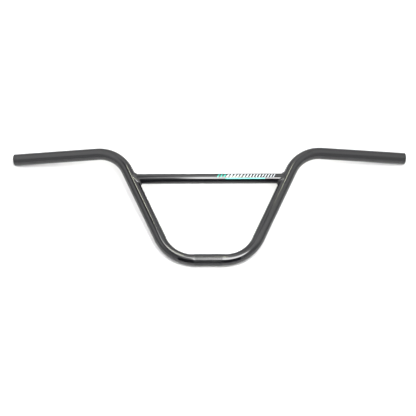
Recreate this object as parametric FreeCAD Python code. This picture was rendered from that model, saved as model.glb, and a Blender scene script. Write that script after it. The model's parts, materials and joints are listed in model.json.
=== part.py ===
import FreeCAD, Part

import math
import os

# BMX handlebar of two steel tubes: a main tube bent four times, a crossbar coped to its uprights,
# and a fillet weld round each end of the crossbar. It lies as it comes to rest on a level surface,
# on the underside of the clamp and on the low rims of the two grip ends.
# Origin at the middle of the stem clamp, +X along the clamp, +Y from the clamp to the grips, +Z up.

Vector = FreeCAD.Vector

# Driving sizes in millimetres and degrees
bar_width = 736.6
bar_rise = 215.9
tube_diameter = 22.2
tube_wall = 1.3
clamp_straight = 54.0
lower_bend_radius = 67.0
upright_angle = 65.0
upper_bend_radius = 65.0
backsweep = 11.0
upsweep = 1.0
crossbar_diameter = 19.05
crossbar_wall = 1.1
crossbar_height = 159.0
weld_leg = 3.5
vent_diameter = 4.0
end_chamfer = 0.4

# Looseness allowed where faces of the welded pieces coincide
seam_tolerance = 0.001

tube_radius = tube_diameter / 2
crossbar_radius = crossbar_diameter / 2


def way(lift, sweep):
    """A unit vector turned from the clamp's axis up the rise, then swept down behind the bar."""
    lift = math.radians(lift)
    sweep = math.radians(sweep)
    level = math.cos(lift)
    return Vector(level * math.cos(sweep), math.sin(lift), -level * math.sin(sweep))


def bend_reach(first, last, radius):
    """The step from the start of a bend to its end."""
    return (first + last) * (radius * math.tan(first.getAngle(last) / 2))


# Centre line of the right half, drawn flat with the uprights in the XY plane
along_clamp = way(0, 0)
along_upright = way(upright_angle, 0)
along_grip = way(upsweep, backsweep)
lower_reach = bend_reach(along_clamp, along_upright, lower_bend_radius)
upper_reach = bend_reach(along_upright, along_grip, upper_bend_radius)

# The upright and the grip are as long as the width and the rise need
span_left = bar_width / 2 - clamp_straight / 2 - lower_reach.x - upper_reach.x
rise_left = bar_rise - lower_reach.y - upper_reach.y
spread = along_upright.x * along_grip.y - along_upright.y * along_grip.x
upright_length = (span_left * along_grip.y - rise_left * along_grip.x) / spread
grip_length = (rise_left * along_upright.x - span_left * along_upright.y) / spread

clamp_end = along_clamp * (clamp_straight / 2)
upright_start = clamp_end + lower_reach
upright_end = upright_start + along_upright * upright_length
grip_start = upright_end + upper_reach
grip_end = grip_start + along_grip * grip_length

# The crossbar runs between the centre lines of the uprights
crossbar_half = upright_start.x + (crossbar_height - upright_start.y) * along_upright.x / along_upright.y
crossbar_end = Vector(-crossbar_half, crossbar_height, 0)

# The turn about X that lays the clamp and the low rims of the grip ends on one level
level_tilt = math.atan2(-grip_end.z, grip_end.y)
grip_fall = math.asin(along_grip.y * math.sin(level_tilt) + along_grip.z * math.cos(level_tilt))
rim_gain = tube_radius * (1 - math.cos(grip_fall))
rest_tilt = math.degrees(level_tilt - rim_gain / math.hypot(grip_end.y, grip_end.z))


def bend(radius, start, first, last, bend_radius):
    """A round bar of this radius, bent from one way to the other."""
    axis = first.cross(last)
    axis.normalize()
    centre = start + axis.cross(first) * bend_radius
    section = Part.Face(Part.Wire(Part.makeCircle(radius, start, first)))
    return section.revolve(centre, axis, math.degrees(first.getAngle(last)))


def main_rod(radius):
    """A solid round bar of this radius along the whole centre line of the main tube."""
    clamp = Part.makeCylinder(radius, clamp_straight, -clamp_end, along_clamp)
    half = [
        bend(radius, clamp_end, along_clamp, along_upright, lower_bend_radius),
        Part.makeCylinder(radius, upright_length, upright_start, along_upright),
        bend(radius, upright_end, along_upright, along_grip, upper_bend_radius),
        Part.makeCylinder(radius, grip_length, grip_start, along_grip),
    ]
    other_half = [piece.mirror(Vector(), along_clamp) for piece in half]
    return clamp.fuse(half + other_half).removeSplitter()


def crossbar_rod(radius):
    """A solid round bar of this radius along the crossbar."""
    return Part.makeCylinder(radius, 2 * crossbar_half, crossbar_end, along_clamp)


def is_end_rim(edge):
    """Is this edge the outer rim of a grip end?"""
    centre = edge.CenterOfMass
    return math.isclose(abs(centre.x), grip_end.x, abs_tol=end_chamfer)


def is_weld_seam(edge):
    """Does this edge lie on the crossbar and on an upright?"""
    middle = edge.valueAt((edge.FirstParameter + edge.LastParameter) / 2)
    off_crossbar = math.hypot(middle.y - crossbar_height, middle.z) - crossbar_radius
    on_right = Vector(abs(middle.x), middle.y, middle.z)
    off_upright = on_right.distanceToLine(upright_start, along_upright) - tube_radius
    return max(abs(off_crossbar), abs(off_upright)) < seam_tolerance


def main_tube():
    """The bent tube, with eased rims and a vent through each upright into the crossbar."""
    rod = main_rod(tube_radius)
    rims = [edge for edge in rod.Edges if is_end_rim(edge)]
    eased = rod.makeChamfer(end_chamfer, rims)
    return eased.cut([main_rod(tube_radius - tube_wall), crossbar_rod(vent_diameter / 2)])


def crossbar():
    """The straight tube, its ends coped to the uprights."""
    rod = crossbar_rod(crossbar_radius)
    return rod.cut([main_rod(tube_radius), crossbar_rod(crossbar_radius - crossbar_wall)])


def crossbar_welds():
    """Two fillet welds of equal legs, each in the corner between the crossbar and an upright."""
    bare = main_rod(tube_radius).fuse(crossbar_rod(crossbar_radius))
    seams = [edge for edge in bare.Edges if is_weld_seam(edge)]
    filled = bare.makeChamfer(weld_leg, seams)
    return Part.Compound(filled.cut(bare, seam_tolerance).Solids)


def export(name, shape):
    """Lay a piece down on its rest and write it."""
    laid = shape.copy()
    laid.rotate(Vector(), along_clamp, rest_tilt)
    laid.exportStep(os.path.join("parts", name + ".step"))


os.makedirs("parts", exist_ok=True)
export("main_tube", main_tube())
export("crossbar", crossbar())
export("crossbar_welds", crossbar_welds())
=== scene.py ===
import json
import math
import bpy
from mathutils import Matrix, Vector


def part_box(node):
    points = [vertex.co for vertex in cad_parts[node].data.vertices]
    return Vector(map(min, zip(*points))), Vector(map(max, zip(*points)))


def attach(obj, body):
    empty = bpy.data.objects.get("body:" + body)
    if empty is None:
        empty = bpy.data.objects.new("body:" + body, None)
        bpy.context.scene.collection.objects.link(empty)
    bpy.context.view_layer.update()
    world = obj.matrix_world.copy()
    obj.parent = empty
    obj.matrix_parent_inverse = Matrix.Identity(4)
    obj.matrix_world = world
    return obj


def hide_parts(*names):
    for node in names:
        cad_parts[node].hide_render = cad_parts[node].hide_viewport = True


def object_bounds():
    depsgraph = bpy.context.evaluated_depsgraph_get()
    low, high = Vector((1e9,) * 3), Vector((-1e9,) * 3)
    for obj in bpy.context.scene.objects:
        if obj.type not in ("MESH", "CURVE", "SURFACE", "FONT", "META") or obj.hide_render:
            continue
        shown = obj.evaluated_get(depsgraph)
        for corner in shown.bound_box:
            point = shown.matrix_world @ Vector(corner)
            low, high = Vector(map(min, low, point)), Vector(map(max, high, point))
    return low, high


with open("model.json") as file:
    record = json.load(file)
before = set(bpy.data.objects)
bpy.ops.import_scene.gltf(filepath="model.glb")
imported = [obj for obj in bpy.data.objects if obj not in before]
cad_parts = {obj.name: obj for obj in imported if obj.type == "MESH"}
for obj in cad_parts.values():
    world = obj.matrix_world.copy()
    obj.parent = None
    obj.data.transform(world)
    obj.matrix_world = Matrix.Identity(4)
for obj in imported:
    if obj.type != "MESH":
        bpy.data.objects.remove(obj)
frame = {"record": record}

from types import SimpleNamespace

import bmesh
import bpy
from bpy.props import FloatProperty, FloatVectorProperty, IntProperty, PointerProperty
from mathutils import Matrix, Vector

bl_info = {
    "name": "BMX handlebar",
    "version": (1, 0, 0),
    "blender": (4, 5, 0),
    "location": "View3D > Sidebar > Handlebar",
    "description": "Dresses a two-tube BMX handlebar in gloss black paint on a studio floor",
    "category": "Object",
}

# One millimetre in metres
MM = 0.001

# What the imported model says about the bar: places in metres, sizes of mounts in millimetres
CAD_BOX = [list(corner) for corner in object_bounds()]
MOUNTS = {mount["name"]: mount for mount in frame["record"]["mounts"]}
CLAMP_DIMS = MOUNTS["stem_clamp"]["dims"]
BORE_DIMS = MOUNTS["right_bar_end"]["dims"]
GRIP_END = Vector(MOUNTS["right_bar_end"]["pos_m"])
ALONG_GRIP = Vector(MOUNTS["right_bar_end"]["axis"]).normalized()
CROSSBAR_LOW, CROSSBAR_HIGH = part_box("crossbar")
CROSSBAR_MIDDLE = (CROSSBAR_LOW + CROSSBAR_HIGH) / 2
FLOOR_LEVEL = CAD_BOX[0][2]

# Rows and segments of faces
STRAIGHT_ROWS = 8
CROSSBAR_ROWS = 6
RIM_SEGMENTS = 2
BEAD_SEGMENTS = 12
PRINT_ROWS = 8
FLOOR_SEGMENTS = 96

# Points nearer than this are one, and edges sharper than this show as edges
MERGE_REACH = 0.001 * MM
SHARP_ANGLE = math.radians(35.0)
# Length of the last row of faces at a grip end, in rounds of its rim
RIM_ZONE = 5
# How deep the knurl's grooves are sunk before the diamonds rise, in depths of the knurl
GROOVE_SINK = 1.2
# How much of a weld's ring becomes the bead's face, and a share just past the face's end, against rounding
BEAD_FACE_TURN = 1.5 * math.pi
BEAD_FACE_END = 1.01
# How far a bead's root sinks into the tubes, and how far a ripple's middle runs ahead, in ripples
BEAD_ROOT_SINK = 0.1 * MM
RIPPLE_LEAD = 0.35
# Gap between the crossbar and the underside of the print
PRINT_GAP = 0.01 * MM
# Upward share of a line of sight where the walls end and where the ceiling is reached
WALLS_END = 0.55
CEILING_START = 0.92
# Width of the camera's film in millimetres, and how far it sees in metres
FILM_WIDTH = 36.0
VIEW_REACH = 100.0

# Lamps and white panels over the bar, in metres: the height of each, how far in from its rim it reaches
# its full brightness, that brightness, its colour, whether it shows in the gloss, and its corners.
# Each hangs at a height of its own where two overlap, because lamps in one plane hide each other.
LAMPS = {
    "soft_lamp": SimpleNamespace(
        height=1.0, fade=0.06, brightness=16.2, colour="FFFFFF", in_gloss=True,
        corners=[(-0.19, 0.11), (-0.19, 0.215), (-0.1, 0.29), (0.03, 0.34), (0.1, 0.08),
                 (0.24, -0.04), (0.51, -0.22), (0.55, -0.61), (-0.095, -0.61), (-0.095, 0.09)]),
    "strip_lamp": SimpleNamespace(
        height=1.3, fade=0.015, brightness=29.0, colour="FBFFE0", in_gloss=True,
        corners=[(0.05, 0.415), (0.085, 0.415), (0.13, 0.55), (0.08, 0.82), (0.035, 0.82),
                 (0.015, 0.55)]),
    "left_fill": SimpleNamespace(
        height=1.2, fade=0.1, brightness=4.5, colour="FFFFFF", in_gloss=False,
        corners=[(-1.7, -0.5), (-0.8, -0.5), (-0.8, 0.8), (-1.7, 0.8)]),
    "lamp_reflector": SimpleNamespace(
        height=1.01, fade=0.08, brightness=1.9, colour="FFFFFF", in_gloss=True,
        corners=[(-0.33, -0.6), (0.7, -0.6), (0.7, 0.05), (0.4, 0.34), (0.08, 0.36), (-0.05, 0.22),
                 (-0.33, 0.1)]),
    "left_panel": SimpleNamespace(
        height=1.0, fade=0.1, brightness=1.7, colour="FFFFFF", in_gloss=True,
        corners=[(-1.2, -0.4), (-0.62, -0.4), (-0.5, 0.25), (-0.3, 0.6), (-0.3, 1.1), (-1.2, 1.1)]),
    "right_panel": SimpleNamespace(
        height=1.0, fade=0.1, brightness=1.5, colour="FFFFFF", in_gloss=True,
        corners=[(0.46, 0.25), (0.55, -0.3), (1.4, -0.3), (1.4, 1.0), (0.46, 1.0)]),
    "back_panel": SimpleNamespace(
        height=1.02, fade=0.1, brightness=1.9, colour="FFFFFF", in_gloss=True,
        corners=[(-0.3, 0.64), (-0.14, 0.64), (-0.1, 0.33), (0.32, 0.33), (0.45, 0.64), (0.45, 1.4),
                 (-0.3, 1.4)]),
}


def linear(hex_colour):
    """An sRGB hex colour as linear red, green and blue."""
    parts = [int(hex_colour[i:i + 2], 16) / 255 for i in (0, 2, 4)]
    return [part / 12.92 if part <= 0.04045 else ((part + 0.055) / 1.055) ** 2.4 for part in parts]


# Sizes and colours that a user may change


class BentTubeSizes(bpy.types.PropertyGroup):
    """Sizes of the main tube, bent four times from clamp to grips."""

    radius: FloatProperty(
        name="Tube radius", description="Outside radius of the bent tube",
        default=CLAMP_DIMS["r_mm"] * MM, unit="LENGTH")
    wall: FloatProperty(
        name="Wall", description="Thickness of the bent tube's wall",
        default=(CLAMP_DIMS["r_mm"] - BORE_DIMS["r_mm"]) * MM, unit="LENGTH")
    clamp_length: FloatProperty(
        name="Clamp straight", description="Straight length between the lower bends",
        default=CLAMP_DIMS["length_mm"] * MM, unit="LENGTH")
    lower_bend_radius: FloatProperty(
        name="Lower bend radius", description="Centre line radius of the bends beside the clamp",
        default=67.0 * MM, unit="LENGTH")
    upright_angle: FloatProperty(
        name="Upright angle", description="Turn of each lower bend",
        default=math.radians(65.0), subtype="ANGLE")
    upper_bend_radius: FloatProperty(
        name="Upper bend radius", description="Centre line radius of the bends below the grips",
        default=65.0 * MM, unit="LENGTH")
    grip_length: FloatProperty(
        name="Grip straight", description="Straight length of each grip",
        default=BORE_DIMS["length_mm"] * MM, unit="LENGTH")
    lower_flattening: FloatProperty(
        name="Lower flattening", description="Share of its width that the tube loses across a lower bend",
        default=0.075, subtype="FACTOR")
    upper_flattening: FloatProperty(
        name="Upper flattening", description="Share of its width that the tube loses across an upper bend",
        default=0.015, subtype="FACTOR")
    rim_round: FloatProperty(
        name="Rim round", description="Rounding of the cut rims at the grip ends",
        default=0.4 * MM, unit="LENGTH")
    around: IntProperty(
        name="Faces around", description="Faces around the tube, and diamonds around the knurl",
        default=56)
    bend_step: FloatProperty(
        name="Bend step", description="Turn of the bend that one row of faces takes",
        default=math.radians(1.5), subtype="ANGLE")


class KnurlSizes(bpy.types.PropertyGroup):
    """Sizes of the band of pressed diamonds in the middle of the clamp."""

    pitch: IntProperty(
        name="Pitch", description="Rows of diamonds that would fill the clamp from its middle to one end",
        default=22)
    left_rows: IntProperty(
        name="Left rows", description="Rows of diamonds to the left of the middle", default=22)
    right_rows: IntProperty(
        name="Right rows", description="Rows of diamonds to the right of the middle", default=19)
    depth: FloatProperty(
        name="Depth", description="Depth of the grooves between the diamonds",
        default=0.08 * MM, unit="LENGTH")
    flank: FloatProperty(
        name="Flank", description="Width of a diamond's slope from groove to top",
        default=0.14 * MM, unit="LENGTH")


class CrossbarSizes(bpy.types.PropertyGroup):
    """Sizes of the thinner tube between the uprights, and of its welds."""

    radius: FloatProperty(
        name="Crossbar radius", description="Outside radius of the crossbar",
        default=9.525 * MM, unit="LENGTH")
    wall: FloatProperty(
        name="Crossbar wall", description="Thickness of the crossbar's wall",
        default=1.1 * MM, unit="LENGTH")
    around: IntProperty(
        name="Faces around", description="Faces around the crossbar", default=96)
    weld_leg: FloatProperty(
        name="Weld leg", description="Reach of the weld along each tube",
        default=3.5 * MM, unit="LENGTH")
    ripples: IntProperty(
        name="Ripples", description="Ripples in the bead round one end", default=32)
    ripple_steps: IntProperty(
        name="Ripple steps", description="Rows of faces in one ripple", default=8)
    bead_crown: FloatProperty(
        name="Bead crown", description="How far the bead bulges, from 0 for flat to 1 for round",
        default=0.3, subtype="FACTOR")
    ripple_height: FloatProperty(
        name="Ripple height", description="Share of the bulge that the ripples add",
        default=0.3, subtype="FACTOR")


class DecalSizes(bpy.types.PropertyGroup):
    """Sizes and colours of the plain slanted bars printed on the crossbar."""

    start: FloatProperty(
        name="Start", description="Where the print starts, from the middle of the crossbar",
        default=14.0 * MM, unit="LENGTH")
    facing: FloatProperty(
        name="Facing", description="Turn round the crossbar of the line that the print is measured from",
        default=math.radians(123.3), subtype="ANGLE")
    low: FloatProperty(
        name="Low edge", description="Low edge of the bars, around the tube from the facing line",
        default=2.6 * MM, unit="LENGTH")
    high: FloatProperty(
        name="High edge", description="High edge of the bars, around the tube from the facing line",
        default=9.0 * MM, unit="LENGTH")
    teal_bars: IntProperty(
        name="Teal bars", description="Teal bars at the start of the row", default=3)
    grey_bars: IntProperty(
        name="Grey bars", description="Grey bars after the teal ones", default=16)
    first_width: FloatProperty(
        name="First width", description="Width of the first grey bar", default=3.0 * MM, unit="LENGTH")
    last_width: FloatProperty(
        name="Last width", description="Width of the last grey bar", default=1.7 * MM, unit="LENGTH")
    teal_width: FloatProperty(
        name="Teal width", description="Width of the teal bars", default=2.4 * MM, unit="LENGTH")
    gap: FloatProperty(
        name="Gap", description="Gap between two bars", default=3.3 * MM, unit="LENGTH")
    line_low: FloatProperty(
        name="Line low edge", description="Low edge of the teal line under the bars",
        default=-0.9 * MM, unit="LENGTH")
    line_high: FloatProperty(
        name="Line high edge", description="High edge of the teal line under the bars",
        default=1.2 * MM, unit="LENGTH")
    line_share: FloatProperty(
        name="Line share", description="Share of the grey bars' row that the teal line runs under",
        default=0.8, subtype="FACTOR")
    slant: FloatProperty(
        name="Slant", description="Lean of the bars", default=math.radians(28.0), subtype="ANGLE")
    film: FloatProperty(
        name="Film", description="Thickness of the print", default=0.03 * MM, unit="LENGTH")
    grey: FloatVectorProperty(
        name="Grey", description="Colour of the grey bars", default=linear("B2B8BC"), subtype="COLOR")
    teal: FloatVectorProperty(
        name="Teal", description="Colour of the teal bars and the line", default=linear("109C8B"),
        subtype="COLOR")


class FinishColours(bpy.types.PropertyGroup):
    """Colours of the tubes inside and outside."""

    paint: FloatVectorProperty(
        name="Paint", description="Gloss black paint", default=linear("0B0B0C"), subtype="COLOR")
    bore: FloatVectorProperty(
        name="Bore", description="Bare steel inside the tube", default=linear("55534F"), subtype="COLOR")


class StageSizes(bpy.types.PropertyGroup):
    """Floor, light and camera of the studio."""

    floor_reach: FloatProperty(
        name="Floor reach", description="Radius of the round floor", default=9.0, unit="LENGTH")
    floor_colour: FloatVectorProperty(
        name="Floor colour", description="Pale paper", default=linear("D0D0D0"), subtype="COLOR")
    walls: FloatProperty(
        name="Walls", description="Brightness of the white walls round the table", default=1.25)
    ceiling: FloatProperty(
        name="Ceiling", description="Brightness of the ceiling", default=0.5)
    opening_place: FloatProperty(
        name="Opening place", description="Distance from the clamp to the dark opening in front",
        default=0.55, unit="LENGTH")
    opening_width: FloatProperty(
        name="Opening width", description="Width of the dark opening in front",
        default=0.8, unit="LENGTH")
    opening_height: FloatProperty(
        name="Opening height", description="Height of the dark opening in front",
        default=0.85, unit="LENGTH")
    camera_azimuth: FloatProperty(
        name="Azimuth", description="Turn of the camera round the bar",
        default=math.radians(0.60), subtype="ANGLE")
    camera_elevation: FloatProperty(
        name="Elevation", description="Height of the camera over the floor",
        default=math.radians(57.60), subtype="ANGLE")
    camera_roll: FloatProperty(
        name="Roll", description="Turn of the camera about its own line of sight",
        default=math.radians(-0.71), subtype="ANGLE")
    camera_distance: FloatProperty(
        name="Distance", description="Distance from the camera to its target", default=2.114, unit="LENGTH")
    camera_target: FloatVectorProperty(
        name="Target", description="Point that the camera looks at",
        default=(-0.00245, 0.10068, 0.015), subtype="TRANSLATION")
    camera_lens: FloatProperty(
        name="Lens", description="Focal length for a film 36 mm wide", default=100.16, unit="CAMERA")


# Materials


def add_node(tree, kind, settings=None, values=None, links=None):
    """Add a node, set its settings and input values, and link sockets of other nodes to its inputs."""
    node = tree.nodes.new(kind)
    for name, value in (settings or {}).items():
        setattr(node, name, value)
    for name, value in (values or {}).items():
        node.inputs[name].default_value = value
    for name, socket in (links or {}).items():
        tree.links.new(socket, node.inputs[name])
    return node


def new_material(name):
    """An empty node material and its tree."""
    material = bpy.data.materials.new(name)
    material.use_nodes = True
    material.node_tree.nodes.clear()
    return material, material.node_tree


def coloured(colour):
    """A colour with its opacity."""
    return (*colour, 1.0)


def gloss_black_paint():
    """Sprayed gloss paint on steel: near black, with a wet shine, a faint orange peel and a little flow."""
    material, tree = new_material("gloss_black_paint")
    paint = bpy.context.scene.finish_colours.paint
    place = add_node(tree, "ShaderNodeTexCoord").outputs["Object"]
    # Orange peel about 2 mm across, and thicker and thinner paint over about 30 mm
    peel = add_node(tree, "ShaderNodeTexNoise", values={"Scale": 1 / (2.0 * MM), "Detail": 1.0},
                    links={"Vector": place})
    flow = add_node(tree, "ShaderNodeTexNoise", values={"Scale": 1 / (30.0 * MM), "Detail": 2.0},
                    links={"Vector": place})
    shine = add_node(tree, "ShaderNodeMapRange", values={"To Min": 0.04, "To Max": 0.09},
                     links={"Value": flow.outputs["Fac"]})
    tint = add_node(tree, "ShaderNodeMix", settings={"data_type": "RGBA"},
                    values={"A": coloured(paint), "B": coloured(linear("101013"))},
                    links={"Factor": flow.outputs["Fac"]})
    bump = add_node(tree, "ShaderNodeBump", values={"Strength": 0.12, "Distance": 0.02 * MM},
                    links={"Height": peel.outputs["Fac"]})
    shader = add_node(tree, "ShaderNodeBsdfPrincipled", values={"IOR": 1.5},
                      links={"Base Color": tint.outputs["Result"], "Roughness": shine.outputs["Result"],
                             "Normal": bump.outputs["Normal"]})
    add_node(tree, "ShaderNodeOutputMaterial", links={"Surface": shader.outputs["BSDF"]})
    return material


def knurled_black_paint():
    """The same paint thin over pressed diamonds: their edges break the shine into a soft satin."""
    material, tree = new_material("knurled_black_paint")
    paint = bpy.context.scene.finish_colours.paint
    place = add_node(tree, "ShaderNodeTexCoord").outputs["Object"]
    # Grit about 0.4 mm across, left by the rollers
    grit = add_node(tree, "ShaderNodeTexNoise", values={"Scale": 1 / (0.4 * MM), "Detail": 2.0},
                    links={"Vector": place})
    shine = add_node(tree, "ShaderNodeMapRange", values={"To Min": 0.12, "To Max": 0.24},
                     links={"Value": grit.outputs["Fac"]})
    tint = add_node(tree, "ShaderNodeMix", settings={"data_type": "RGBA"},
                    values={"A": coloured(paint), "B": coloured(linear("1A1A1D"))},
                    links={"Factor": grit.outputs["Fac"]})
    shader = add_node(tree, "ShaderNodeBsdfPrincipled", values={"IOR": 1.5},
                      links={"Base Color": tint.outputs["Result"], "Roughness": shine.outputs["Result"]})
    add_node(tree, "ShaderNodeOutputMaterial", links={"Surface": shader.outputs["BSDF"]})
    return material


def oiled_bare_steel():
    """Drawn steel inside the tube: dull grey metal, clouded by oil."""
    material, tree = new_material("oiled_bare_steel")
    bore = bpy.context.scene.finish_colours.bore
    place = add_node(tree, "ShaderNodeTexCoord").outputs["Object"]
    # Clouds of oil about 6 mm across
    oil = add_node(tree, "ShaderNodeTexNoise", values={"Scale": 1 / (6.0 * MM), "Detail": 3.0},
                   links={"Vector": place})
    shine = add_node(tree, "ShaderNodeMapRange", values={"To Min": 0.35, "To Max": 0.6},
                     links={"Value": oil.outputs["Fac"]})
    tint = add_node(tree, "ShaderNodeMix", settings={"data_type": "RGBA"},
                    values={"A": coloured(bore), "B": coloured(linear("2E2B28"))},
                    links={"Factor": oil.outputs["Fac"]})
    shader = add_node(tree, "ShaderNodeBsdfPrincipled", values={"Metallic": 1.0},
                      links={"Base Color": tint.outputs["Result"], "Roughness": shine.outputs["Result"]})
    add_node(tree, "ShaderNodeOutputMaterial", links={"Surface": shader.outputs["BSDF"]})
    return material


def transfer_print(name, colour):
    """A printed transfer under clear lacquer: solid ink with a fine uneven cover and a smooth shine."""
    material, tree = new_material(name)
    place = add_node(tree, "ShaderNodeTexCoord").outputs["Object"]
    # Uneven cover of the ink over about 1.5 mm
    cover = add_node(tree, "ShaderNodeTexNoise", values={"Scale": 1 / (1.5 * MM), "Detail": 3.0},
                     links={"Vector": place})
    thin_cover = 0.86
    thin = [part * thin_cover for part in colour]
    tint = add_node(tree, "ShaderNodeMix", settings={"data_type": "RGBA"},
                    values={"A": coloured(colour), "B": coloured(thin)},
                    links={"Factor": cover.outputs["Fac"]})
    shine = add_node(tree, "ShaderNodeMapRange", values={"To Min": 0.12, "To Max": 0.24},
                     links={"Value": cover.outputs["Fac"]})
    shader = add_node(tree, "ShaderNodeBsdfPrincipled", values={"IOR": 1.5},
                      links={"Base Color": tint.outputs["Result"], "Roughness": shine.outputs["Result"]})
    add_node(tree, "ShaderNodeOutputMaterial", links={"Surface": shader.outputs["BSDF"]})
    return material


def pale_paper():
    """A sweep of matte pale paper under the bar."""
    material, tree = new_material("pale_paper")
    colour = bpy.context.scene.stage_sizes.floor_colour
    shader = add_node(tree, "ShaderNodeBsdfPrincipled",
                      values={"Base Color": coloured(colour), "Roughness": 0.9, "Specular IOR Level": 0.2})
    add_node(tree, "ShaderNodeOutputMaterial", links={"Surface": shader.outputs["BSDF"]})
    return material


def matte_black_cloth():
    """Black cloth that swallows light."""
    material, tree = new_material("matte_black_cloth")
    shader = add_node(tree, "ShaderNodeBsdfDiffuse", values={"Color": coloured(linear("141414"))})
    add_node(tree, "ShaderNodeOutputMaterial", links={"Surface": shader.outputs["BSDF"]})
    return material


def lamp_cloth(name, lamp):
    """A lamp's white cloth, evenly lit and fading out to its rim."""
    material, tree = new_material(name)
    glow = add_node(tree, "ShaderNodeAttribute", settings={"attribute_name": "glow"}).outputs["Fac"]
    strength = add_node(tree, "ShaderNodeMath", settings={"operation": "MULTIPLY"},
                        values={1: lamp.brightness}, links={0: glow})
    light = add_node(tree, "ShaderNodeEmission", values={"Color": coloured(linear(lamp.colour))},
                     links={"Strength": strength.outputs["Value"]})
    # Where the light has faded, the ceiling shows through
    clear = add_node(tree, "ShaderNodeBsdfTransparent")
    shader = add_node(tree, "ShaderNodeAddShader", links={0: light.outputs["Emission"],
                                                          1: clear.outputs["BSDF"]})
    add_node(tree, "ShaderNodeOutputMaterial", links={"Surface": shader.outputs["Shader"]})
    return material


def finish(make, *details):
    """A finish by the function that makes it, made the first time it is asked for."""
    name = details[0] if details else make.__name__
    return bpy.data.materials.get(name) or make(*details)


# Shapes


def add_piece(name, bm, finishes, replaced=None):
    """Make an object of a finished mesh, and let it ride on the bar's one body."""
    mesh = bpy.data.meshes.new(name)
    bm.to_mesh(mesh)
    bm.free()
    mesh.set_sharp_from_angle(angle=SHARP_ANGLE)
    for material in finishes:
        mesh.materials.append(material)
    piece = bpy.data.objects.new(name, mesh)
    bpy.context.scene.collection.objects.link(piece)
    if replaced:
        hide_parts(replaced)
    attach(piece, "root")
    return piece


def rest_turn():
    """The turn about X from the flat bar, uprights in the XY plane, to the bar at rest on the floor."""
    return Matrix.Rotation(math.atan2(CROSSBAR_MIDDLE.z, CROSSBAR_MIDDLE.y), 4, "X")


def centre_line(bar):
    """Points and ways along the centre line of the bar's right half."""
    along_clamp = Vector((1, 0, 0))
    along_upright = rest_turn() @ Vector((math.cos(bar.upright_angle), math.sin(bar.upright_angle), 0))
    lower_reach = bar.lower_bend_radius * math.tan(bar.upright_angle / 2)
    upper_reach = bar.upper_bend_radius * math.tan(along_upright.angle(ALONG_GRIP) / 2)
    clamp_end = along_clamp * bar.clamp_length / 2
    upright_start = clamp_end + (along_clamp + along_upright) * lower_reach
    grip_start = GRIP_END - ALONG_GRIP * bar.grip_length
    upright_end = grip_start - (along_upright + ALONG_GRIP) * upper_reach
    return SimpleNamespace(along_clamp=along_clamp, along_upright=along_upright, clamp_end=clamp_end,
                           upright_start=upright_start, upright_end=upright_end)


def carry(bm, ring, way, length, steps):
    """Carry a ring of the tube straight on in equal steps, and return the last ring."""
    spun = bmesh.ops.spin(bm, geom=ring, cent=(0, 0, 0), axis=way, dvec=way * (length / steps), angle=0,
                          steps=steps)
    return spun["geom_last"]


def bend(bm, ring, start, first, last, radius, flattening, step):
    """Carry a ring round a bend, flatten the bend as the bender does, and return the last ring."""
    angle = first.angle(last)
    axis = first.cross(last).normalized()
    centre = start + axis.cross(first) * radius
    straight = set(bm.verts)
    spun = bmesh.ops.spin(bm, geom=ring, cent=centre, axis=axis, angle=angle,
                          steps=math.ceil(angle / step))
    for vert in bm.verts:
        if vert in straight:
            continue
        arm = vert.co - centre
        arm -= axis * arm.dot(axis)
        share = (start - centre).angle(arm) / angle
        squeeze = flattening * math.sqrt(max(0.0, math.sin(math.pi * share)))
        vert.co -= arm.normalized() * (arm.length - radius) * squeeze
    return spun["geom_last"]


def press_knurl(bm, bar, knurl):
    """Turn the plain faces of the clamp's middle into rows of flat-topped diamonds."""
    row = bar.clamp_length / 2 / knurl.pitch
    left = -knurl.left_rows * row
    right = knurl.right_rows * row
    mid_wall = bar.radius - bar.wall / 2

    def in_band(place, margin):
        return left + margin < place.x < right - margin

    def outside(face):
        middle = face.calc_center_median()
        return in_band(middle, 0) and math.hypot(middle.y, middle.z) > mid_wall

    band = [face for face in bm.faces if outside(face)]
    grid = {edge for face in band for edge in face.edges if all(outside(near) for near in edge.link_faces)}
    sunk = {vert for edge in grid for vert in edge.verts if in_band(vert.co, row / 2)}
    share = 1 - GROOVE_SINK * knurl.depth / bar.radius
    bmesh.ops.scale(bm, vec=(1, share, share), verts=list(sunk))
    poked = bmesh.ops.poke(bm, faces=band)
    bmesh.ops.dissolve_edges(bm, edges=list(grid), use_verts=False)
    diamonds = {face for vert in poked["verts"] for face in vert.link_faces
                if all(in_band(corner.co, row / 4) for corner in face.verts)}
    bmesh.ops.inset_individual(bm, faces=list(diamonds), thickness=knurl.flank, depth=knurl.depth)
    return [face for face in bm.faces if outside(face)]


def flat_foot(bar):
    """The start of the right upright's centre line on the flat bar."""
    return rest_turn().inverted() @ centre_line(bar).upright_start


def flat_height():
    """The height of the crossbar over the clamp on the flat bar."""
    return math.hypot(CROSSBAR_MIDDLE.y, CROSSBAR_MIDDLE.z)


def cope(bar, y, z):
    """How far to the right a line along X at this height and depth meets the inner side of the upright."""
    foot = flat_foot(bar)
    across = math.sqrt(bar.radius ** 2 - z ** 2)
    return foot.x + ((y - foot.y) * math.cos(bar.upright_angle) - across) / math.sin(bar.upright_angle)


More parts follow.
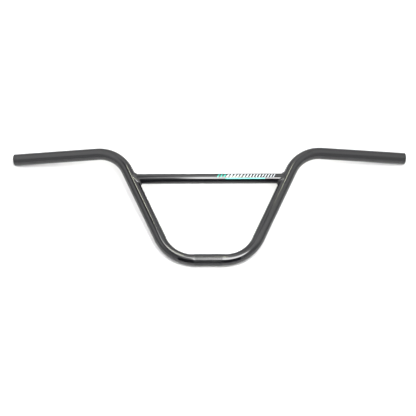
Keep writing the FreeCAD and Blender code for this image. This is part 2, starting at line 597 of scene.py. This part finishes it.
def weld_corner(bar, crossbar, angle):
    """The root of the right weld and its toes on the crossbar and the upright, at this angle round it."""
    lean = bar.upright_angle
    foot = flat_foot(bar)
    height = flat_height()
    big = bar.radius
    small = crossbar.radius
    leg = crossbar.weld_leg
    up = Vector((math.cos(lean), math.sin(lean), 0))
    inward = Vector((-math.sin(lean), math.cos(lean), 0))
    y = height + small * math.cos(angle)
    z = small * math.sin(angle)
    root = Vector((cope(bar, y, z), y, z))
    across = math.sqrt(big ** 2 - z ** 2)
    y_rate = -small * math.sin(angle)
    z_rate = small * math.cos(angle)
    x_rate = (y_rate * up.x + z * z_rate / across) / up.y
    # The toe on the crossbar, stepped off square to the seam on the unrolled tube
    size = math.hypot(x_rate, small)
    turn = angle + leg * x_rate / size / small
    low_toe = Vector((root.x - leg * small / size, height + small * math.cos(turn), small * math.sin(turn)))
    # The toe on the upright, stepped off in the same way
    along_rate = x_rate * up.x + y_rate * up.y
    around_rate = big * z_rate / across
    size = math.hypot(along_rate, around_rate)
    along = (root - foot).dot(up) + leg * around_rate / size
    turn = math.asin(z / big) - leg * along_rate / size / big
    high_toe = foot + up * along + inward * (big * math.cos(turn)) + Vector((0, 0, big * math.sin(turn)))
    return root, low_toe, high_toe


# Studio


def add_stage(name, bm, material):
    """Make a part of the studio that isn't part of the bar."""
    mesh = bpy.data.meshes.new(name)
    bm.to_mesh(mesh)
    bm.free()
    mesh.materials.append(material)
    part = bpy.data.objects.new(name, mesh)
    bpy.context.scene.collection.objects.link(part)
    return part


def lay_floor(stage):
    """A round floor under the bar."""
    bm = bmesh.new()
    bmesh.ops.create_circle(bm, cap_ends=True, segments=FLOOR_SEGMENTS, radius=stage.floor_reach,
                            matrix=Matrix.Translation((0, 0, FLOOR_LEVEL)))
    add_stage("floor", bm, finish(pale_paper))


def hang_opening(stage):
    """The dark opening that the camera looks through, which shows in the gloss alone."""
    bm = bmesh.new()
    matrix = Matrix.Translation((0, -stage.opening_place, FLOOR_LEVEL + stage.opening_height / 2))
    matrix = matrix @ Matrix.Rotation(math.pi / 2, 4, "X")
    matrix = matrix @ Matrix.Diagonal((stage.opening_width, stage.opening_height, 1, 1))
    bmesh.ops.create_grid(bm, x_segments=1, y_segments=1, size=0.5, matrix=matrix)
    opening = add_stage("camera_opening", bm, finish(matte_black_cloth))
    opening.visible_camera = False
    opening.visible_shadow = False
    opening.visible_diffuse = False


def hang_lamp(name, lamp):
    """A level lamp over the bar, brightest inside its rim."""
    bm = bmesh.new()
    glow = bm.verts.layers.float.new("glow")
    cloth = bm.faces.new([bm.verts.new((x, y, lamp.height)) for x, y in lamp.corners])
    cloth.normal_update()
    bmesh.ops.inset_region(bm, faces=[cloth], thickness=lamp.fade, use_boundary=True, use_even_offset=True)
    for vert in cloth.verts:
        vert[glow] = 1.0
    hung = add_stage(name, bm, finish(lamp_cloth, name, lamp))
    hung.visible_camera = False
    hung.visible_glossy = lamp.in_gloss


def white_surround(stage):
    """A room of white walls under a dimmer ceiling."""
    world = bpy.data.worlds.new("white_surround")
    world.use_nodes = True
    tree = world.node_tree
    tree.nodes.clear()
    way = add_node(tree, "ShaderNodeTexCoord").outputs["Generated"]
    rise = add_node(tree, "ShaderNodeSeparateXYZ", links={"Vector": way}).outputs["Z"]
    glow = add_node(tree, "ShaderNodeMapRange", settings={"interpolation_type": "SMOOTHSTEP"},
                    values={"From Min": WALLS_END, "From Max": CEILING_START, "To Min": stage.walls,
                            "To Max": stage.ceiling},
                    links={"Value": rise})
    surround = add_node(tree, "ShaderNodeBackground", values={"Color": (1, 1, 1, 1)},
                        links={"Strength": glow.outputs["Result"]})
    add_node(tree, "ShaderNodeOutputWorld", links={"Surface": surround.outputs["Background"]})
    return world


def aim_camera(stage):
    """A camera at its distance from the target, turned round it, tipped down and rolled."""
    lens = bpy.data.cameras.new("camera")
    lens.sensor_width = FILM_WIDTH
    lens.lens = stage.camera_lens
    lens.clip_end = VIEW_REACH
    camera = bpy.data.objects.new("camera", lens)
    turn = Matrix.Rotation(stage.camera_azimuth, 4, "Z")
    turn = turn @ Matrix.Rotation(math.pi / 2 - stage.camera_elevation, 4, "X")
    turn = turn @ Matrix.Rotation(stage.camera_roll, 4, "Z")
    place = Matrix.Translation(Vector(stage.camera_target))
    camera.matrix_world = place @ turn @ Matrix.Translation((0, 0, stage.camera_distance))
    bpy.context.scene.collection.objects.link(camera)
    return camera


# Operators


class HANDLEBAR_OT_bent_tube(bpy.types.Operator):
    """Model the bent tube with its flattened bends, open ends and knurled clamp"""

    bl_idname = "handlebar.bent_tube"
    bl_label = "Bent tube"

    def execute(self, context):
        bar = context.scene.bent_tube_sizes
        knurl = context.scene.knurl_sizes
        line = centre_line(bar)
        # Slots of the finishes
        painted, knurled, bare = range(3)
        bm = bmesh.new()
        bmesh.ops.create_circle(bm, segments=bar.around, radius=bar.radius,
                                matrix=Matrix.Rotation(math.pi / 2, 4, "Y"))
        ring = bm.verts[:] + bm.edges[:]
        upright_length = (line.upright_end - line.upright_start).length
        rim_zone = RIM_ZONE * bar.rim_round
        ring = carry(bm, ring, line.along_clamp, bar.clamp_length / 2, knurl.pitch)
        ring = bend(bm, ring, line.clamp_end, line.along_clamp, line.along_upright,
                    bar.lower_bend_radius, bar.lower_flattening, bar.bend_step)
        ring = carry(bm, ring, line.along_upright, upright_length, STRAIGHT_ROWS)
        ring = bend(bm, ring, line.upright_end, line.along_upright, ALONG_GRIP,
                    bar.upper_bend_radius, bar.upper_flattening, bar.bend_step)
        ring = carry(bm, ring, ALONG_GRIP, bar.grip_length - rim_zone, STRAIGHT_ROWS)
        carry(bm, ring, ALONG_GRIP, rim_zone, 1)
        bmesh.ops.mirror(bm, geom=bm.verts[:] + bm.edges[:] + bm.faces[:], matrix=Matrix.Identity(4),
                         merge_dist=MERGE_REACH, axis="X")
        bmesh.ops.recalc_face_normals(bm, faces=bm.faces[:])
        outer = set(bm.faces)
        bmesh.ops.solidify(bm, geom=bm.faces[:], thickness=bar.wall)
        rims = {face for face in bm.faces if face not in outer
                and any(near in outer for edge in face.edges for near in edge.link_faces)}
        for face in bm.faces:
            face.smooth = True
            face.material_index = painted if face in outer or face in rims else bare
        corners = {edge for face in rims for edge in face.edges if not rims.issuperset(edge.link_faces)}
        bmesh.ops.bevel(bm, geom=list(corners), offset=bar.rim_round, offset_type="OFFSET",
                        segments=RIM_SEGMENTS, profile=0.5, affect="EDGES", material=-1)
        for face in press_knurl(bm, bar, knurl):
            face.smooth = False
            face.material_index = knurled
        finishes = [finish(gloss_black_paint), finish(knurled_black_paint), finish(oiled_bare_steel)]
        add_piece("bent_tube", bm, finishes, "main_tube")
        return {"FINISHED"}


class HANDLEBAR_OT_cross_tube(bpy.types.Operator):
    """Model the crossbar, its ends coped to the uprights"""

    bl_idname = "handlebar.cross_tube"
    bl_label = "Crossbar"

    def execute(self, context):
        bar = context.scene.bent_tube_sizes
        crossbar = context.scene.crossbar_sizes
        # Slots of the finishes
        painted, bare = range(2)
        axis = Matrix.Translation((0, flat_height(), 0)) @ Matrix.Rotation(math.pi / 2, 4, "Y")
        bm = bmesh.new()
        for radius in (crossbar.radius, crossbar.radius - crossbar.wall):
            made = bmesh.ops.create_circle(bm, segments=crossbar.around, radius=radius, matrix=axis)
            edges = {edge for vert in made["verts"] for edge in vert.link_edges}
            ring = made["verts"] + list(edges)
            ring = carry(bm, ring, Vector((1, 0, 0)), CROSSBAR_HIGH.x, CROSSBAR_ROWS)
            for vert in [part for part in ring if isinstance(part, bmesh.types.BMVert)]:
                vert.co.x = cope(bar, vert.co.y, vert.co.z)
        bmesh.ops.mirror(bm, geom=bm.verts[:] + bm.edges[:] + bm.faces[:], matrix=Matrix.Identity(4),
                         merge_dist=MERGE_REACH, axis="X")
        for side in (1, -1):
            ends = [edge for edge in bm.edges if edge.is_boundary and edge.verts[0].co.x * side > 0]
            bmesh.ops.bridge_loops(bm, edges=ends)
        bmesh.ops.recalc_face_normals(bm, faces=bm.faces[:])
        mid_wall = crossbar.radius - crossbar.wall / 2
        for face in bm.faces:
            face.smooth = True
            middle = face.calc_center_median()
            from_axis = math.hypot(middle.y - flat_height(), middle.z)
            face.material_index = painted if from_axis > mid_wall else bare
        bmesh.ops.transform(bm, matrix=rest_turn(), verts=bm.verts[:])
        add_piece("cross_tube", bm, [finish(gloss_black_paint), finish(oiled_bare_steel)], "crossbar")
        return {"FINISHED"}


class HANDLEBAR_OT_weld_beads(bpy.types.Operator):
    """Model the rippled weld bead round each end of the crossbar"""

    bl_idname = "handlebar.weld_beads"
    bl_label = "Weld beads"

    def execute(self, context):
        bar = context.scene.bent_tube_sizes
        crossbar = context.scene.crossbar_sizes
        bm = bmesh.new()
        bmesh.ops.create_circle(bm, segments=BEAD_SEGMENTS, radius=crossbar.weld_leg / 2,
                                matrix=Matrix.Translation((0, crossbar.radius, 0)))
        bmesh.ops.spin(bm, geom=bm.verts[:] + bm.edges[:], cent=(0, 0, 0), axis=(1, 0, 0), angle=math.tau,
                       steps=crossbar.ripples * crossbar.ripple_steps, use_merge=True)
        for vert in bm.verts:
            angle = math.atan2(vert.co.z, vert.co.y)
            out = math.hypot(vert.co.y, vert.co.z) - crossbar.radius
            # Three quarters of the ring become the bead's face, from toe to toe, and the rest its root
            share = (math.atan2(out, -vert.co.x) % math.tau) / BEAD_FACE_TURN
            root, low_toe, high_toe = weld_corner(bar, crossbar, angle)
            sunk = ((root - low_toe) + (root - high_toe)).normalized() * BEAD_ROOT_SINK
            vert.co = root + sunk
            if share > BEAD_FACE_END:
                continue
            phase = crossbar.ripples * angle / math.tau + RIPPLE_LEAD * math.sin(math.pi * share)
            bulge = crossbar.bead_crown + crossbar.ripple_height * abs(math.sin(math.pi * phase))
            low = (1 - bulge) * (1 - share) + bulge * math.cos(math.pi / 2 * share)
            high = (1 - bulge) * share + bulge * math.sin(math.pi / 2 * share)
            vert.co += (low_toe - root) * low + (high_toe - root) * high
        # The points that fall together at the root become one
        bmesh.ops.remove_doubles(bm, verts=bm.verts[:], dist=MERGE_REACH)
        bmesh.ops.transform(bm, matrix=rest_turn(), verts=bm.verts[:])
        bmesh.ops.mirror(bm, geom=bm.verts[:] + bm.edges[:] + bm.faces[:], matrix=Matrix.Identity(4),
                         axis="X")
        bmesh.ops.recalc_face_normals(bm, faces=bm.faces[:])
        for face in bm.faces:
            face.smooth = True
        add_piece("weld_beads", bm, [finish(gloss_black_paint)], "crossbar_welds")
        return {"FINISHED"}


class HANDLEBAR_OT_printed_bars(bpy.types.Operator):
    """Model the row of plain slanted bars printed on the crossbar"""

    bl_idname = "handlebar.printed_bars"
    bl_label = "Printed bars"

    def execute(self, context):
        crossbar = context.scene.crossbar_sizes
        decal = context.scene.decal_sizes
        # Slots of the finishes
        grey, teal = range(2)
        # Each patch by its start, width, low and high edge around the tube, and its finish
        patches = []
        place = decal.start
        for count in range(decal.teal_bars):
            patches.append((place, decal.teal_width, decal.low, decal.high, teal))
            place += decal.teal_width + decal.gap
        line_start = place
        for count in range(decal.grey_bars):
            share = count / (decal.grey_bars - 1)
            width = decal.first_width + (decal.last_width - decal.first_width) * share
            patches.append((place, width, decal.low, decal.high, grey))
            place += width + decal.gap
        line_width = (place - line_start) * decal.line_share
        patches.append((line_start, line_width, decal.line_low, decal.line_high, teal))
        bm = bmesh.new()
        for start, width, low, high, slot in patches:
            before = set(bm.faces)
            matrix = Matrix.Translation((start + width / 2, (low + high) / 2, 0))
            matrix = matrix @ Matrix.Diagonal((width, high - low, 1, 1))
            bmesh.ops.create_grid(bm, x_segments=1, y_segments=PRINT_ROWS, size=0.5, matrix=matrix)
            for face in bm.faces:
                if face not in before:
                    face.material_index = slot
        bmesh.ops.solidify(bm, geom=bm.faces[:], thickness=decal.film)
        for vert in bm.verts:
            turn = decal.facing - vert.co.y / crossbar.radius
            radius = crossbar.radius + vert.co.z + decal.film + PRINT_GAP
            vert.co.x += (vert.co.y - decal.low) * math.tan(decal.slant)
            vert.co.y = CROSSBAR_MIDDLE.y + radius * math.cos(turn)
            vert.co.z = CROSSBAR_MIDDLE.z + radius * math.sin(turn)
        for face in bm.faces:
            face.smooth = True
        finishes = [finish(transfer_print, "grey_transfer_print", decal.grey),
                    finish(transfer_print, "teal_transfer_print", decal.teal)]
        add_piece("printed_bars", bm, finishes)
        return {"FINISHED"}


class HANDLEBAR_OT_studio(bpy.types.Operator):
    """Set out the pale floor, the soft light and the camera"""

    bl_idname = "handlebar.studio"
    bl_label = "Studio"

    def execute(self, context):
        scene = context.scene
        stage = scene.stage_sizes
        lay_floor(stage)
        hang_opening(stage)
        for name, lamp in LAMPS.items():
            hang_lamp(name, lamp)
        scene.world = white_surround(stage)
        scene.camera = aim_camera(stage)
        scene.view_settings.view_transform = "Standard"
        return {"FINISHED"}


class HANDLEBAR_PT_sidebar(bpy.types.Panel):
    """Lists what makes the bar and its studio"""

    bl_idname = "HANDLEBAR_PT_sidebar"
    bl_label = "Handlebar"
    bl_space_type = "VIEW_3D"
    bl_region_type = "UI"
    bl_category = "Handlebar"

    def draw(self, context):
        for operator in OPERATORS:
            self.layout.operator(operator.bl_idname)


SETTINGS = {
    "bent_tube_sizes": BentTubeSizes,
    "knurl_sizes": KnurlSizes,
    "crossbar_sizes": CrossbarSizes,
    "decal_sizes": DecalSizes,
    "finish_colours": FinishColours,
    "stage_sizes": StageSizes,
}
OPERATORS = (
    HANDLEBAR_OT_bent_tube,
    HANDLEBAR_OT_cross_tube,
    HANDLEBAR_OT_weld_beads,
    HANDLEBAR_OT_printed_bars,
    HANDLEBAR_OT_studio,
)


def register():
    """Register the settings, the operators and the panel."""
    for name, group in SETTINGS.items():
        bpy.utils.register_class(group)
        setattr(bpy.types.Scene, name, PointerProperty(type=group))
    for operator in OPERATORS:
        bpy.utils.register_class(operator)
    bpy.utils.register_class(HANDLEBAR_PT_sidebar)


def unregister():
    """Take back what register made, in reverse."""
    bpy.utils.unregister_class(HANDLEBAR_PT_sidebar)
    for operator in reversed(OPERATORS):
        bpy.utils.unregister_class(operator)
    for name, group in reversed(SETTINGS.items()):
        delattr(bpy.types.Scene, name)
        bpy.utils.unregister_class(group)


def main():
    """Make the bar and its studio."""
    register()
    bpy.ops.handlebar.bent_tube()
    bpy.ops.handlebar.cross_tube()
    bpy.ops.handlebar.weld_beads()
    bpy.ops.handlebar.printed_bars()
    bpy.ops.handlebar.studio()


if __name__ == "__main__":
    main()
